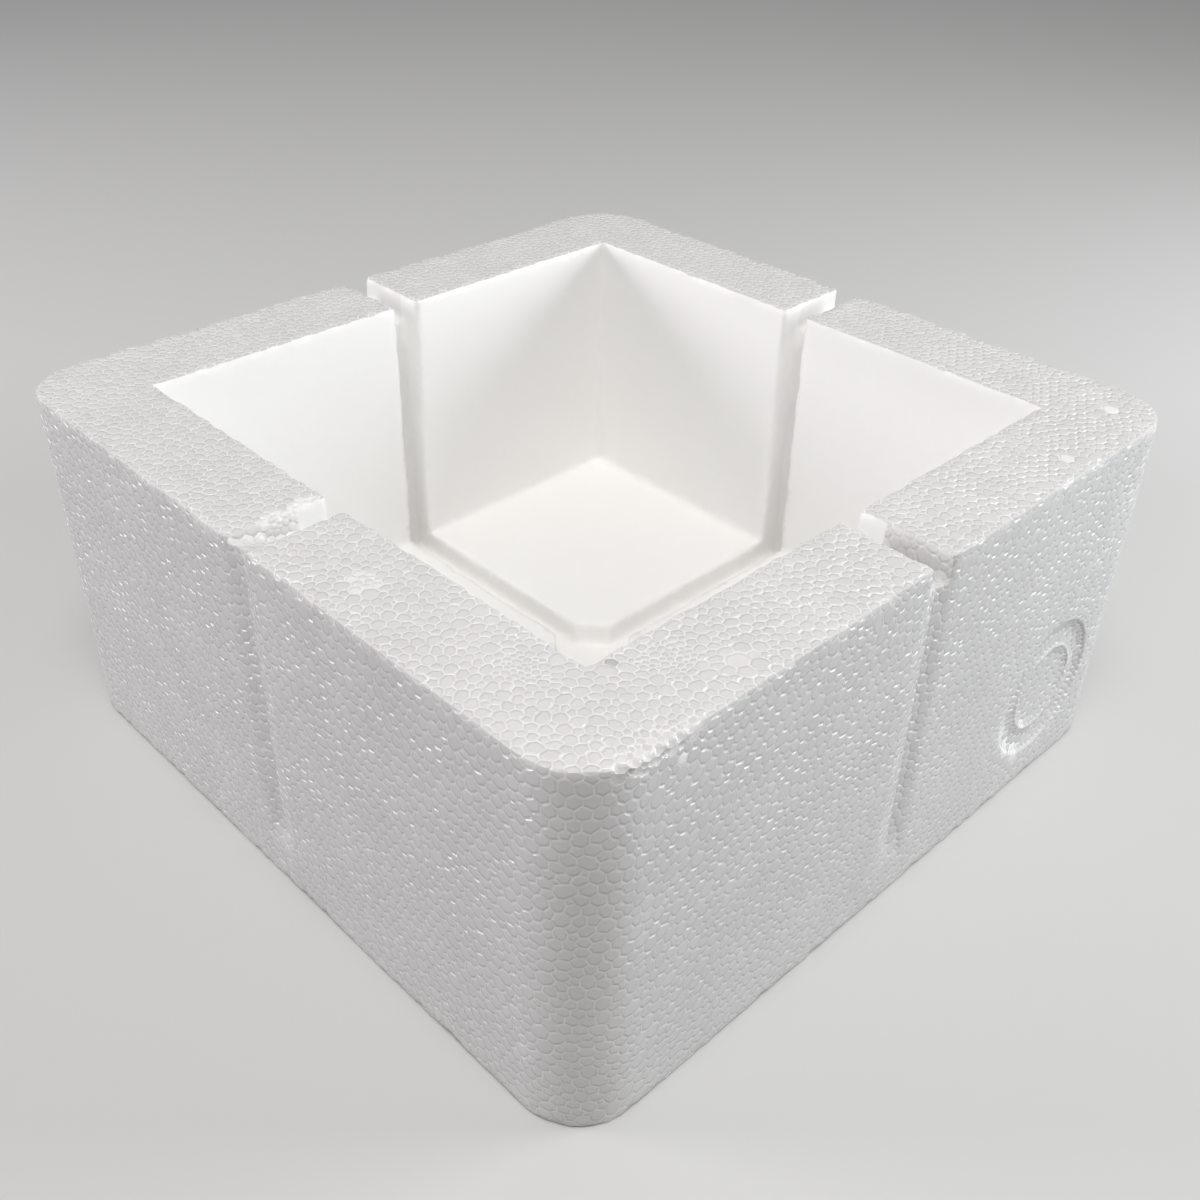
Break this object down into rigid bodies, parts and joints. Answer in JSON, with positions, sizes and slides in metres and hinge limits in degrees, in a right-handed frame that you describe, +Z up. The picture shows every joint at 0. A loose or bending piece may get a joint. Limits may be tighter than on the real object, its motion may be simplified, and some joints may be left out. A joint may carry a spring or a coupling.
{
  "type": "expanded polystyrene corner protector block",
  "caption": "Square open foam tray, scored through walls and floor so that it snaps into equal three-sided corner protectors for packing.",
  "frame": {"origin": "middle of the underside", "axes": "+Z up towards the open side; X and Y square to the walls; the round filler mark is on the +X wall near its +Y end"},
  "size_m": [0.17, 0.17, 0.08],
  "materials": {
    "bead_foam": "matte white expanded polystyrene with a moulded bead skin"
  },
  "bodies": {
    "root": {"corner_block": "bead_foam"}
  },
  "joints": []
}
